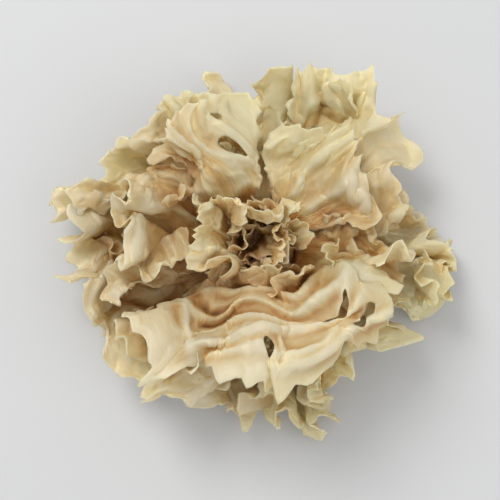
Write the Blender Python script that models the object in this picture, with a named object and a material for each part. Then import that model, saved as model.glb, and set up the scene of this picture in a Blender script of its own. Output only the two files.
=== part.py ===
"""One dried head of snow fungus: a tough cut base and the broad, crumpled fronds that fork from it.

The head rests on its cut face. The origin is the middle of that face, +Z is up.
Lengths in the tables are millimetres and angles are degrees.
"""

import math

import bmesh
import bpy
from mathutils import Vector, noise

MM = 0.001

# The base is an egg-shaped knob, cut off flat at the floor.
BASE_RADII = (11.5, 10.5, 12.0)
BASE_CENTRE_HEIGHT = 2.0
BASE_RINGS = 10
BASE_SECTORS = 20
BASE_LUMP_HEIGHT = 0.5
BASE_LUMP_SIZE = 7.0
BASE_LUMP_PLACE = (5.1, 2.2, 0.4)
BASE_COLOUR = (0.42, 0.22, 0.07, 1.0)

# Each frond is a fan of thin dried jelly that starts this far off the base. It is thicker in this
# share of its length, next to its root.
ROOT_GAP = 0.7
ROOT_THICKNESS = 1.8
MARGIN_THICKNESS = 0.9
ROOT_SHARE = 0.4
FROND_COLUMNS = 13
FROND_ROWS = 6
FROND_COLOUR = (0.72, 0.55, 0.30, 1.0)

# A crest is a small fan that grows out of a frond's upper face, with its root sunk this far into it.
CREST_COLUMNS = 5
CREST_ROWS = 3
CREST_SINK = 0.9

# The margin has pointed tips with hollow arcs between them, which reach this share of the full reach.
HOLLOW_REACH = 0.74
TIP_REACH = 0.9
TIP_SPREAD = 0.14
TIP_SHARPNESS = 1.7
CORNER_LOSS = 0.16

# A fan's ribs sway from side to side, and its folds are uneven: they stand higher towards the margin,
# lean over, and carry a smaller set of folds.
RIB_SWAY = 0.1
RIB_WAVES = (2.6, 5.0)
FOLD_SHIFT = 0.14
FOLD_SHIFT_WAVE = 3.1
FOLD_START = 1.9
FOLD_RISE = 1.3
FOLD_LEAN = 0.3
SMALL_FOLD = 0.3
SMALL_FOLD_WAVES = (1.7, 4.0)

# The whole head is pulled out of true as it dries: a wide bend and a smaller crumple.
PULLS = (
    {"reach": 6.0, "size": 21.0, "shifts": ((3.7, 1.9, 8.3), (21.4, 7.7, 0.9), (9.2, 30.1, 4.4))},
    {"reach": 2.4, "size": 9.0, "shifts": ((12.1, 5.2, 2.6), (2.8, 17.3, 11.5), (25.6, 3.9, 7.1))},
)
PULL_STARTS = 13.5
PULL_FULL = 28.0

# Where the chances are read from the noise, and what brings them to about -1 to 1.
CHANCE_START = Vector((0.37, 0.71, 0.53))
CHANCE_STEPS = (7.31, 3.17)
CHANCE_SIZE = 1.6

# azimuth and latitude place the root on the base, rise is the slope there and bend is how much it
# changes by the margin. spread and root are half the fan's angle and half the root's width.
FROND_KEYS = ("name", "azimuth", "latitude", "rise", "bend", "reach", "spread", "root")
FAN_KEYS = ("folds", "fold_height", "tips", "seed")
FRONDS = (
    ("outer_frond_1", 138, 28, 16, 2, 29, 32, 4.0, 1.5, 2.8, 4, 1),
    ("outer_frond_2", 184, 8, 8, 11, 28, 29, 4.0, 3.0, 2.3, 6, 2),
    ("outer_frond_3", 228, 28, 16, 2, 29, 30, 4.0, 2.0, 2.8, 4, 3),
    ("outer_frond_4", 272, 8, 6, 5, 28, 31, 4.0, 2.5, 2.6, 5, 4),
    ("outer_frond_5", 318, 28, 14, 4, 26, 30, 4.0, 2.0, 2.6, 4, 5),
    ("outer_frond_6", 2, 8, 7, 8, 27, 30, 4.0, 2.5, 2.6, 5, 6),
    ("outer_frond_7", 46, 28, 17, 2, 29, 32, 4.0, 2.0, 2.8, 4, 7),
    ("outer_frond_8", 92, 8, 6, 6, 26, 29, 4.0, 2.5, 2.6, 4, 8),
    ("middle_frond_1", 116, 50, 50, -44, 28, 34, 3.4, 1.0, 1.8, 4, 11),
    ("middle_frond_2", 177, 46, 34, -4, 22, 30, 3.4, 2.5, 2.2, 5, 12),
    ("middle_frond_3", 241, 44, 23, -4, 23, 30, 3.4, 2.0, 2.2, 5, 13),
    ("middle_frond_4", 275, 58, 70, -84, 33, 51, 3.4, 2.0, 1.8, 6, 14),
    ("middle_frond_5", 346, 44, 25, -4, 23, 31, 3.4, 2.0, 2.2, 4, 15),
    ("middle_frond_6", 43, 50, 38, -22, 26, 32, 3.4, 1.0, 2.2, 4, 16),
    ("inner_frond_1", 92, 74, 76, -10, 13, 34, 2.4, 1.5, 1.4, 4, 21),
    ("inner_frond_2", 198, 72, 70, -10, 15, 32, 2.4, 2.0, 1.6, 4, 22),
    ("inner_frond_3", 340, 78, 82, -10, 11, 32, 2.0, 1.5, 1.2, 4, 23),
)

# s and t place a crest's root on its frond, turn swings it about the frond's normal and rise is its
# slope off the frond's face.
CREST_KEYS = ("frond", "s", "t", "turn", "rise", "reach", "spread", "root")
CRESTS = (
    ("outer_frond_1", -0.6, 0.65, -30, 65, 9, 40, 3.0, 1.5, 1.2, 3, 31),
    ("outer_frond_2", -0.4, 0.38, -10, 75, 8, 40, 3.0, 1.5, 1.2, 3, 32),
    ("outer_frond_3", 0.4, 0.72, 30, 70, 9, 40, 3.0, 1.5, 1.2, 3, 33),
    ("outer_frond_4", 0.0, 0.74, 30, 50, 9, 40, 3.0, 1.5, 1.2, 3, 34),
    ("outer_frond_5", -0.4, 0.65, 30, 75, 9, 40, 3.0, 1.5, 1.2, 3, 35),
    ("outer_frond_6", -0.4, 0.72, 30, 50, 9, 40, 3.0, 1.5, 1.2, 3, 36),
    ("outer_frond_7", 0.4, 0.72, 30, 75, 9, 40, 3.0, 1.5, 1.2, 3, 37),
    ("outer_frond_8", 0.2, 0.40, -30, 75, 8, 40, 3.0, 1.5, 1.2, 3, 38),
    ("middle_frond_2", 0.5, 0.70, -30, 60, 9, 40, 2.8, 1.5, 1.1, 3, 42),
    ("middle_frond_3", -0.5, 0.72, 0, 60, 8, 40, 2.8, 1.5, 1.1, 3, 43),
    ("middle_frond_5", 0.0, 0.74, 0, 50, 9, 40, 2.8, 1.5, 1.1, 3, 45),
)


def ease(x):
    """0 below 0, 1 above 1, and a smooth step between."""
    x = min(max(x, 0.0), 1.0)
    return x * x * (3 - 2 * x)


def chance(seed, index):
    """A repeatable number from about -1 to 1 for one feature of one fan."""
    place = CHANCE_START + Vector((seed * CHANCE_STEPS[0], index * CHANCE_STEPS[1], 0))
    return noise.noise(place) * CHANCE_SIZE


def margin(fan, s):
    """How far the fan reaches at s, as a share of its reach."""
    spans = fan["tips"] - 1
    place = (s + 1) / 2 * spans
    left = min(int(place), spans - 1)
    along = place - left
    heights = [TIP_REACH + TIP_SPREAD * chance(fan["seed"], k) - HOLLOW_REACH for k in (left, left + 1)]
    hollow = heights[0] * (1 - along) ** TIP_SHARPNESS + heights[1] * along**TIP_SHARPNESS
    return (HOLLOW_REACH + hollow) * (1 - CORNER_LOSS * abs(s) ** 4)


def fan_point(fan, s, t):
    """The fan laid out flat but for its folds, as distances along it, across it and off it.

    s runs from -1 to 1 across the fan and t from 0 at the root to 1 at the margin.
    """
    seed = fan["seed"]
    spread = math.radians(fan["spread"])
    start = fan["root"] / math.sin(spread)
    length = start + t * fan["reach"] * margin(fan, s)
    angle = spread * (s + RIB_SWAY * t * math.sin(RIB_WAVES[0] * s + RIB_WAVES[1] * t + seed))
    shifted = s + FOLD_SHIFT * math.sin(FOLD_SHIFT_WAVE * s + seed)
    phase = math.pi * fan["folds"] * shifted + seed * FOLD_START
    fold = fan["fold_height"] * t**FOLD_RISE
    small_fold = SMALL_FOLD * math.sin(SMALL_FOLD_WAVES[0] * phase + SMALL_FOLD_WAVES[1] * t + seed)
    lift = fold * (math.sin(phase) + small_fold)
    across = length * math.sin(angle) - FOLD_LEAN * fold * math.sin(2 * phase)
    root_line = start * (1 + (math.cos(angle) - 1) * (1 - t) ** 2)
    return length * math.cos(angle) - root_line, across, lift


def frond_point(frond, s, t):
    """A point in the middle of a frond's sheet."""
    along, across, lift = fan_point(frond, s, t)
    rise = math.radians(frond["rise"])
    curve = math.radians(frond["bend"]) / frond["reach"]
    slope = rise + curve * along
    outward = (math.sin(slope) - math.sin(rise)) / curve - lift * math.sin(slope)
    upward = (math.cos(rise) - math.cos(slope)) / curve + lift * math.cos(slope)

    azimuth = math.radians(frond["azimuth"])
    latitude = math.radians(frond["latitude"])
    forward = Vector((math.cos(azimuth), math.sin(azimuth), 0))
    sideways = Vector((-math.sin(azimuth), math.cos(azimuth), 0))
    root = Vector(
        (
            (BASE_RADII[0] + ROOT_GAP) * math.cos(latitude) * math.cos(azimuth),
            (BASE_RADII[1] + ROOT_GAP) * math.cos(latitude) * math.sin(azimuth),
            (BASE_RADII[2] + ROOT_GAP) * math.sin(latitude) + BASE_CENTRE_HEIGHT,
        )
    )
    return dried(root + forward * outward + sideways * across + Vector((0, 0, upward)))


def dried(point):
    """Where the uneven pull of drying takes a point. It leaves the base as it is."""
    away = ease((point.length - PULL_STARTS) / (PULL_FULL - PULL_STARTS))
    moved = point.copy()
    for pull in PULLS:
        place = point / pull["size"]
        swing = Vector([noise.noise(place + Vector(shift)) for shift in pull["shifts"]])
        moved += swing * pull["reach"] * away
    return moved


def crest_frame(crest, frond):
    """The crest's root and its directions along, across and off its sheet."""
    step = 0.02
    s, t = crest["s"], crest["t"]
    root = frond_point(frond, s, t)
    ahead = (frond_point(frond, s, t + step) - root).normalized()
    aside = (frond_point(frond, s + step, t) - root).normalized()
    normal = ahead.cross(aside).normalized()
    turn = math.radians(crest["turn"])
    rise = math.radians(crest["rise"])
    level = ahead * math.cos(turn) + normal.cross(ahead) * math.sin(turn)
    along = level * math.cos(rise) + normal * math.sin(rise)
    across = normal.cross(level)
    return root, along, across, along.cross(across)


def new_material(name, colour, roughness):
    material = bpy.data.materials.new(name)
    material.use_nodes = True
    shader = material.node_tree.nodes["Principled BSDF"]
    shader.inputs["Base Color"].default_value = colour
    shader.inputs["Roughness"].default_value = roughness
    shader.inputs["Metallic"].default_value = 0.0
    return material


def new_object(name, bm, material):
    mesh = bpy.data.meshes.new(name)
    bm.to_mesh(mesh)
    bm.free()
    mesh.shade_smooth()
    mesh.materials.append(material)
    obj = bpy.data.objects.new(name, mesh)
    bpy.context.scene.collection.objects.link(obj)
    return obj


def make_base(material):
    bm = bmesh.new()
    bmesh.ops.create_uvsphere(bm, u_segments=BASE_SECTORS, v_segments=BASE_RINGS, radius=1.0)
    for vert in bm.verts:
        shape = Vector([vert.co[i] * BASE_RADII[i] for i in range(3)])
        lump = noise.noise(shape / BASE_LUMP_SIZE + Vector(BASE_LUMP_PLACE))
        shape *= 1 - BASE_LUMP_HEIGHT * (0.5 + lump) / BASE_RADII[0]
        shape.z += BASE_CENTRE_HEIGHT
        vert.co = shape * MM
    everything = bm.verts[:] + bm.edges[:] + bm.faces[:]
    cut = bmesh.ops.bisect_plane(
        bm, geom=everything, plane_co=(0, 0, 0), plane_no=(0, 0, 1), clear_inner=True
    )
    rim = [e for e in cut["geom_cut"] if isinstance(e, bmesh.types.BMEdge)]
    bmesh.ops.contextual_create(bm, geom=rim)
    bmesh.ops.recalc_face_normals(bm, faces=bm.faces)
    return new_object("base", bm, material)


def make_fan(name, columns, rows, place, material):
    """A closed thin sheet through the points that place(s, t) gives, thicker at its root."""
    bm = bmesh.new()
    bmesh.ops.create_grid(bm, x_segments=columns, y_segments=rows, size=0.5)
    shares = []
    for vert in bm.verts:
        s, t = vert.co.x * 2, vert.co.y + 0.5
        shares.append(1 + (MARGIN_THICKNESS / ROOT_THICKNESS - 1) * ease(t / ROOT_SHARE))
        vert.co = place(s, t) * MM
    obj = new_object(name, bm, material)
    group = obj.vertex_groups.new(name="thickness")
    for index, share in enumerate(shares):
        group.add([index], share, "REPLACE")
    solid = obj.modifiers.new("thickness", "SOLIDIFY")
    solid.thickness = ROOT_THICKNESS * MM
    solid.offset = 0.0
    solid.vertex_group = group.name
    solid.use_quality_normals = True
    return obj


def make_frond(frond, material):
    return make_fan(
        frond["name"],
        FROND_COLUMNS,
        FROND_ROWS,
        lambda s, t: frond_point(frond, s, t),
        material,
    )


def grow_crest(crest, frond, frond_object, material):
    """Joins a crest to the frond that it grows out of."""
    root, along, across, off = crest_frame(crest, frond)

    def place(s, t):
        ahead, aside, lift = fan_point(crest, s, t)
        return root + along * (ahead - CREST_SINK) + across * aside + off * lift

    helper = make_fan(f"crest_{crest['seed']}", CREST_COLUMNS, CREST_ROWS, place, material)
    helper.hide_render = True
    helper.display_type = "WIRE"
    join = frond_object.modifiers.new(helper.name, "BOOLEAN")
    join.operation = "UNION"
    join.object = helper


def main():
    for obj in list(bpy.data.objects):
        bpy.data.objects.remove(obj)
    make_base(new_material("base", BASE_COLOUR, 0.75))
    frond_material = new_material("frond", FROND_COLOUR, 0.55)
    fronds = {row[0]: dict(zip(FROND_KEYS + FAN_KEYS, row)) for row in FRONDS}
    objects = {name: make_frond(frond, frond_material) for name, frond in fronds.items()}
    for row in CRESTS:
        crest = dict(zip(CREST_KEYS + FAN_KEYS, row))
        grow_crest(crest, fronds[crest["frond"]], objects[crest["frond"]], frond_material)


main()
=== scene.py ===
"""The looks of one dried head of snow fungus, built around its solids.

Every frond starts as the smooth fan that its solid is made from. Its margin then grows faster than
its middle, as it does in the living fungus, so the sheet has to ruffle and crease. Frills grow out of
its faces in the same way, holes open in it, and its margin dries into pointed teeth.
Lengths are millimetres and angles are degrees until a mesh is made.
"""

import math
import random

import bmesh
import bpy
import numpy as np
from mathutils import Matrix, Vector, noise
from mathutils.bvhtree import BVHTree


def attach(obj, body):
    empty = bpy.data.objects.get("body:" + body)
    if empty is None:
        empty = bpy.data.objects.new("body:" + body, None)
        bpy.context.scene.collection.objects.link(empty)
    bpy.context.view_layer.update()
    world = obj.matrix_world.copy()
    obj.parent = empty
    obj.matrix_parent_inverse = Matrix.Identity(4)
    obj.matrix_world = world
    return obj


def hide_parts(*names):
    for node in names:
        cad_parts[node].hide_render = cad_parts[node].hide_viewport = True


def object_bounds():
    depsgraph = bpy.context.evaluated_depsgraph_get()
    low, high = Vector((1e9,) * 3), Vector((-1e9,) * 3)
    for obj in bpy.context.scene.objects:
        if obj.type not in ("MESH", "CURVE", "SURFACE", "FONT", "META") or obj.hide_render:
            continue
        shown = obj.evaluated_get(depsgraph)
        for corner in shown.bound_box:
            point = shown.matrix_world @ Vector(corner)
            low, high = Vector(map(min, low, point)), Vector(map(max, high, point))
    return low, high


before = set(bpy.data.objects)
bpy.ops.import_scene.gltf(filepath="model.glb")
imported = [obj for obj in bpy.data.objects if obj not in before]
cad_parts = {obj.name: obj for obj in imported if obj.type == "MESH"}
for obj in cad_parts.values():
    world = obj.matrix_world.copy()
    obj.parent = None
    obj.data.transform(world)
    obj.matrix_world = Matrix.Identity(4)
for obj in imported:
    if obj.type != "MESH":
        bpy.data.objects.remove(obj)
cad_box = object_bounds()

MM = 0.001

# The head's form, as in its solids: the base, then a fan's margin with its tips and hollows, its
# ribs and its folds, and last the pull of drying.
BASE_RADII = (11.5, 10.5, 12.0)
BASE_CENTRE_HEIGHT = 2.0
ROOT_GAP = 0.7
HOLLOW_REACH = 0.74
TIP_REACH = 0.9
TIP_SPREAD = 0.14
TIP_SHARPNESS = 1.7
CORNER_LOSS = 0.16
CORNER_CURVE = 4
RIB_SWAY = 0.1
RIB_WAVES = (2.6, 5.0)
FOLD_SHIFT = 0.14
FOLD_SHIFT_WAVE = 3.1
FOLD_START = 1.9
FOLD_RISE = 1.3
FOLD_LEAN = 0.3
SMALL_FOLD = 0.3
SMALL_FOLD_WAVES = (1.7, 4.0)
CHANCE_START = Vector((0.37, 0.71, 0.53))
CHANCE_STEPS = (7.31, 3.17)
CHANCE_SIZE = 1.6
PULLS = (
    {"reach": 6.0, "size": 21.0, "shifts": ((3.7, 1.9, 8.3), (21.4, 7.7, 0.9), (9.2, 30.1, 4.4))},
    {"reach": 2.4, "size": 9.0, "shifts": ((12.1, 5.2, 2.6), (2.8, 17.3, 11.5), (25.6, 3.9, 7.1))},
)
PULL_STARTS = 13.5
PULL_FULL = 28.0

FROND_KEYS = ("name", "azimuth", "latitude", "rise", "bend", "reach", "spread", "root")
FAN_KEYS = ("folds", "fold_height", "tips", "seed")
FROND_ROWS = (
    ("outer_frond_1", 138, 28, 16, 2, 29, 32, 4.0, 1.5, 2.8, 4, 1),
    ("outer_frond_2", 184, 8, 8, 11, 28, 29, 4.0, 3.0, 2.3, 6, 2),
    ("outer_frond_3", 228, 28, 16, 2, 29, 30, 4.0, 2.0, 2.8, 4, 3),
    ("outer_frond_4", 272, 8, 6, 5, 28, 31, 4.0, 2.5, 2.6, 5, 4),
    ("outer_frond_5", 318, 28, 14, 4, 26, 30, 4.0, 2.0, 2.6, 4, 5),
    ("outer_frond_6", 2, 8, 7, 8, 27, 30, 4.0, 2.5, 2.6, 5, 6),
    ("outer_frond_7", 46, 28, 17, 2, 29, 32, 4.0, 2.0, 2.8, 4, 7),
    ("outer_frond_8", 92, 8, 6, 6, 26, 29, 4.0, 2.5, 2.6, 4, 8),
    ("middle_frond_1", 116, 50, 50, -44, 28, 34, 3.4, 1.0, 1.8, 4, 11),
    ("middle_frond_2", 177, 46, 34, -4, 22, 30, 3.4, 2.5, 2.2, 5, 12),
    ("middle_frond_3", 241, 44, 23, -4, 23, 30, 3.4, 2.0, 2.2, 5, 13),
    ("middle_frond_4", 275, 58, 70, -84, 33, 51, 3.4, 2.0, 1.8, 6, 14),
    ("middle_frond_5", 346, 44, 25, -4, 23, 31, 3.4, 2.0, 2.2, 4, 15),
    ("middle_frond_6", 43, 50, 38, -22, 26, 32, 3.4, 1.0, 2.2, 4, 16),
    ("inner_frond_1", 92, 74, 76, -10, 13, 34, 2.4, 1.5, 1.4, 4, 21),
    ("inner_frond_2", 198, 72, 70, -10, 15, 32, 2.4, 2.0, 1.6, 4, 22),
    ("inner_frond_3", 340, 78, 82, -10, 11, 32, 2.0, 1.5, 1.2, 4, 23),
)
FRONDS = [dict(zip(FROND_KEYS + FAN_KEYS, row)) for row in FROND_ROWS]

# Frills stand on the fronds. These are the ones that the solids have too.
FRILL_KEYS = ("frond", "s", "t", "turn", "rise", "reach", "spread", "root")
CREST_ROWS = (
    ("outer_frond_1", -0.6, 0.65, -30, 65, 9, 40, 3.0, 1.5, 1.2, 3, 31),
    ("outer_frond_2", -0.4, 0.38, -10, 75, 8, 40, 3.0, 1.5, 1.2, 3, 32),
    ("outer_frond_3", 0.4, 0.72, 30, 70, 9, 40, 3.0, 1.5, 1.2, 3, 33),
    ("outer_frond_4", 0.0, 0.74, 30, 50, 9, 40, 3.0, 1.5, 1.2, 3, 34),
    ("outer_frond_5", -0.4, 0.65, 30, 75, 9, 40, 3.0, 1.5, 1.2, 3, 35),
    ("outer_frond_6", -0.4, 0.72, 30, 50, 9, 40, 3.0, 1.5, 1.2, 3, 36),
    ("outer_frond_7", 0.4, 0.72, 30, 75, 9, 40, 3.0, 1.5, 1.2, 3, 37),
    ("outer_frond_8", 0.2, 0.40, -30, 75, 8, 40, 3.0, 1.5, 1.2, 3, 38),
    ("middle_frond_2", 0.5, 0.70, -30, 60, 9, 40, 2.8, 1.5, 1.1, 3, 42),
    ("middle_frond_3", -0.5, 0.72, 0, 60, 8, 40, 2.8, 1.5, 1.1, 3, 43),
    ("middle_frond_5", 0.0, 0.74, 0, 50, 9, 40, 2.8, 1.5, 1.1, 3, 45),
)

# These small ones stand along the rim of the hollow in the middle of the head.
RIM_FRILL_ROWS = (
    ("middle_frond_4", -0.62, 0.24, 10, 70, 6, 42, 2.4, 1.5, 0.9, 4, 61),
    ("middle_frond_4", -0.25, 0.20, -5, 75, 6, 44, 2.6, 1.5, 0.9, 4, 62),
    ("middle_frond_4", 0.15, 0.22, 5, 75, 7, 44, 2.6, 1.5, 0.9, 4, 63),
    ("middle_frond_4", 0.55, 0.26, -10, 70, 6, 42, 2.4, 1.5, 0.9, 4, 64),
)

# How much each frond ruffles, how many small frills it has besides its crests, how high, wide and long
# its creases are, and how coarse its grain. The three broad sheets on top are the smooth ones.
FROND_LOOK_KEYS = ("ruffle", "frills", "crease_height", "crease_across", "crease_along", "coarse")
USUAL_LOOK = (1.0, 3, 1.05, 4.5, 12.0, 1.0)
SPECIAL_LOOKS = {
    "middle_frond_1": (0.45, 0, 1.05, 7.0, 12.0, 1.5),
    "middle_frond_2": (1.1, 4, 1.05, 4.0, 10.0, 1.0),
    "middle_frond_4": (0.26, 0, 0.35, 34.0, 6.5, 2.2),
    "middle_frond_6": (0.5, 0, 1.05, 7.0, 18.0, 1.8),
    "inner_frond_1": (0.9, 1, 1.05, 3.5, 9.0, 1.0),
    "inner_frond_2": (0.9, 0, 1.05, 3.5, 9.0, 1.0),
    "inner_frond_3": (0.9, 0, 1.05, 3.5, 9.0, 1.0),
}
LOOKS = {
    frond["name"]: dict(zip(FROND_LOOK_KEYS, SPECIAL_LOOKS.get(frond["name"], USUAL_LOOK)))
    for frond in FRONDS
}

# Holes that drying opens in the sheets: where, how wide, how long, and how far turned.
HOLE_KEYS = ("frond", "s", "t", "width", "length", "turn")
HOLE_ROWS = (
    ("middle_frond_1", -0.66, 0.84, 1.6, 2.6, -20),
    ("middle_frond_1", -0.60, 0.61, 2.8, 4.6, -15),
    ("middle_frond_4", 0.60, 0.63, 2.2, 8.0, 88),
    ("middle_frond_4", 0.70, 0.84, 2.2, 7.0, 90),
    ("middle_frond_4", 0.05, 0.82, 2.4, 3.2, 30),
    ("outer_frond_4", 0.1, 0.55, 2.6, 3.4, 0),
)
HOLES = [dict(zip(HOLE_KEYS, row)) for row in HOLE_ROWS]

# Long raised veins run along one frond, painted pale as a painted highlight: the s of each vein's start and
# its share of the reach, the same of its end, how far it bows between them, how wide it is and how high it
# stands. They sway a little and fade at their ends, and the jelly beside them is darkened with painted
# shade.
VEINED_FROND = "middle_frond_4"
VEIN_ROWS = (
    (-0.97, 0.33, 0.98, 0.34, -0.08, 0.8, 1.3),
    (-0.96, 0.50, 0.98, 0.45, -0.10, 0.8, 1.5),
    (-0.78, 0.64, 0.52, 0.49, -0.06, 0.6, 1.0),
    (-0.62, 0.80, 0.98, 0.60, -0.13, 0.8, 1.5),
    (-0.40, 0.86, 0.50, 0.70, -0.07, 0.6, 1.0),
    (-0.10, 0.84, 0.98, 0.78, -0.06, 0.8, 1.4),
    (-0.90, 0.33, -0.40, 0.78, 0.05, 0.7, 0.9),
    (0.12, 0.59, 0.30, 0.79, 0.03, 0.6, 0.8),
)
VEIN_WAVE = 0.02
VEIN_WAVES = 8.0
VEIN_END = 0.2
VALLEY_SHADE_WIDTH = 3.2
VALLEY_SHADE_STRENGTH = 1.5

# The sheets grow on finer and finer grids: columns, rows and loops of each.
FROND_GRIDS = ((24, 18, 60), (48, 36, 50), (96, 72, 30))
FRILL_GRIDS = ((16, 10, 50), (32, 20, 30))
ROOT_SUNK = 0.08
GROWTH_ACROSS = 0.55
GROWTH_ALONG = 0.2
GROWTH_STARTS = 0.35
GROWTH_CURVE = 1.5
SIDE_GROWTH = 0.75
ROOT_CALM = 1 / 3

# The growth is patchy, and small jolts start the ruffles on each grid. The shifts give each sheet its
# own place in the noise.
GROWTH_PATCH = 5.0
PATCH_SHIFT = (3.1, 7.7, 1.3)
PATCH_ACROSS = 1.2
PATCH_ALONG = 1.5
JOLT = 0.8
JOLT_SIZES = (3.2, 2.1, 1.55)
JOLT_SHIFT = (9.1, 1.7)

# How stiff the sheet is where it is folded and where it is flat, how far it may drift at its root and
# at its margin, and how firmly its root and the rest are held.
FOLDED = 0.90
FLAT = 0.985
FOLD_STIFFNESS = 0.03
FLAT_STIFFNESS = 0.45
SHEAR = 0.7
FROND_DRIFT = (0.3, 3.4)
FRILL_DRIFT = (0.1, 1.9)
ROOT_HELD = 0.2
ROOT_HOLD = 0.9
SHEET_HOLD = 0.01

# How much the frills and the buds grow, how deep a frill is rooted in its frond, and the step of the
# frond's s and t that tells how it lies there.
FRILL_GROWTH = 1.0
BUD_GROWTH = 0.7
FRILL_SUNK = 0.35
FRILL_STEP = 0.04

# The scattered frills and the buds in the hollow: the lowest and the highest value of each measure.
FRILL_SEED = 7
FRILL_FIRST_SEED = 100
FRILLS_TO_ONE_BELOW = 4
FRILL_SPACE = 4.5
FRILL_TIPS = (3, 4)
FRILL_RANGES = {
    "s": (-0.78, 0.78),
    "t": (0.3, 0.85),
    "turn": (-45, 45),
    "rise": (40, 80),
    "reach": (4.0, 7.5),
    "spread": (36, 50),
    "root": (1.5, 2.6),
    "folds": (1.0, 2.2),
    "fold_height": (0.7, 1.2),
}
BUD_SEED = 3
BUD_FIRST_SEED = 300
BUD_COUNT = 17
BUD_TURN = 360 / BUD_COUNT * 5
BUD_SUNK = 0.3
BUD_RANGES = {
    "azimuth": (-12, 12),
    "latitude": (58, 89),
    "rise": (55, 95),
    "bend": (-40, -8),
    "reach": (4.5, 8.0),
    "spread": (36, 52),
    "root": (1.2, 2.2),
    "folds": (1.0, 2.2),
    "fold_height": (0.6, 1.2),
}

# The base: its lumps and ridges, and the pits in its cut face.
BASE_FINENESS = 6
LUMP_LAYERS = ((5.0, 1.3), (1.9, 0.35))
BASE_RIDGE_SIZE = 3.0
BASE_RIDGE_HEIGHT = 0.8
BASE_RIDGE_PLACE = (4.0, 7.0, 1.0)
BASE_STRETCH = 0.45
BASE_CALM = 3.0
CUT_PIT_LAYERS = ((2.6, 1.6), (0.8, 0.5))
CUT_PIT_DEPTH = 0.5
CUT_RIM = 1 / 6

# The teeth along a torn margin, which end at hollows between them, and those along a fan's sides.
TOOTH_DEPTH = 0.07
TEETH_PER_TIP = 3
NOTCH_MEAN = 0.55
NOTCH_RANGE = 0.6
NOTCH_LEAST = 0.05
NOTCH_ROUNDNESS = 1.5
SIDE_TEETH = 6
SIDE_TEETH_SALT = 40.0
SIDE_TOOTH_DEPTH = 1.6
SIDE_TOOTH_CURVE = 6
TOOTH_SHIFT = 0.5

# Where the four faces round a point agree less than this on which way they face, the point is drawn
# towards its neighbours.
PINCH_ROUNDS = 10
PINCH_FLATNESS = 0.72
PINCH_RANGE = 0.3
PINCH_EASING = 0.6

# The middle of a sheet stays this far off the floor. Where it grows out of the solids' box, each loop
# pulls it back by a small share of the way, and a share of what stands out at the end is left.
FLOOR_GAP = 0.45
BOX_PULL = 0.08
STAND_OUT = 0.5
LOWEST = (cad_box[0][0] / MM, cad_box[0][1] / MM, FLOOR_GAP)
HIGHEST = tuple(side / MM for side in cad_box[1])

# Creases: the frills' own, and each layer's size, share of the height and place in the noise.
FRILL_LOOK = {"crease_height": 0.45, "crease_across": 3.0, "crease_along": 7.0, "coarse": 1.0}
CREASE_NARROWNESS = 3.0
CREASE_SHARPNESS = 2.2
CREASE_SHIFT = (5.7, 2.3)
CREASE_START = 0.05
CREASE_FULL = 0.3
CREASE_FADE = 0.8
CREASE_AT_MARGIN = 0.5
CREASE_LAYERS = ((1.0, 1.0, 3.3), (0.42, 0.3, 8.8), (0.2, 0.08, 14.1))

# A hole's rim is wavy, rounded, and has a raised lip.
HOLE_WOBBLE = 0.12
HOLE_WAVES = 3
HOLE_WAVE_START = 40
RIM_ROUNDS = 4
HOLE_LIP = 0.45
HOLE_LIP_WIDTH = 0.9

# The thickness of the jelly at a frond's root, in its middle and along its rims. It is thinner in
# sharp folds, so that its two faces don't meet there.
FROND_THICKNESS = (1.7, 0.45, 0.13)
FRILL_THICKNESS = (0.7, 0.32, 0.12)
BUD_THICKNESS = (1.2, 0.36, 0.13)
ROOT_SHARE = 0.4
MARGIN_THINNING = 0.8
MARGIN_CURVE = 4
THINNEST = 0.7
FOLD_ROOM = 0.8
RIM_WIDTH = 0.5
PALE_WIDTH = 1.3
GRAIN_STEP = 7.0
SHEET_VALUES = ("growth", "rim", "ridge", "open")

# How open to the air each point is, which paints shade into the hollows: how many rays look out of it, how
# far, and from how far off it.
OPEN_RAYS = 28
OPEN_REACH = 13.0
OPEN_START = 0.5
OPEN_BASE_FINENESS = 4
OPEN_SMOOTHING = 0.6
OPEN_SMOOTHING_ROUNDS = 2


def ease(x):
    """0 below 0, 1 above 1, and a smooth step between."""
    x = np.clip(x, 0, 1)
    return x * x * (3 - 2 * x)


def unit(vectors):
    return vectors / (np.linalg.norm(vectors, axis=-1, keepdims=True) + 1e-9)


def chance(seed, index):
    """A repeatable number from about -1 to 1 for one feature of one fan."""
    place = CHANCE_START + Vector((seed * CHANCE_STEPS[0], index * CHANCE_STEPS[1], 0))
    return noise.noise(place) * CHANCE_SIZE


def noise_field(points, size, shift):
    """One noise value for each point."""
    shift = Vector(shift)
    values = [noise.noise(Vector(point) / size + shift) for point in points.reshape(-1, 3)]
    return np.array(values).reshape(points.shape[:-1])


def margin(fan, s):
    """How far the fan reaches at s, as a share of its reach: pointed tips with hollow arcs between."""
    spans = fan["tips"] - 1
    tips = np.array([TIP_REACH + TIP_SPREAD * chance(fan["seed"], k) for k in range(spans + 1)])
    place = (s + 1) / 2 * spans
    left = np.clip(place.astype(int), 0, spans - 1)
    along = place - left
    hollow = (tips[left] - HOLLOW_REACH) * (1 - along) ** TIP_SHARPNESS
    hollow += (tips[left + 1] - HOLLOW_REACH) * along**TIP_SHARPNESS
    return (HOLLOW_REACH + hollow) * (1 - CORNER_LOSS * np.abs(s) ** CORNER_CURVE)


def teeth(fan, place, count, salt):
    """Small hollows of uneven depth between pointed teeth, 0 on a tooth and up to 1 between two.

    The teeth are shifted by half a tooth at most, so there is one more before them and one behind.
    """
    place = place * count + TOOTH_SHIFT * math.sin(fan["seed"] + salt) + 1
    left = np.floor(place).astype(int)
    chances = np.array([chance(fan["seed"] + salt, k) for k in range(count + 3)])
    depths = np.clip(NOTCH_MEAN + NOTCH_RANGE * chances, NOTCH_LEAST, 1)
    return depths[left] * (1 - np.abs(2 * (place - left) - 1) ** NOTCH_ROUNDNESS)


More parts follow.
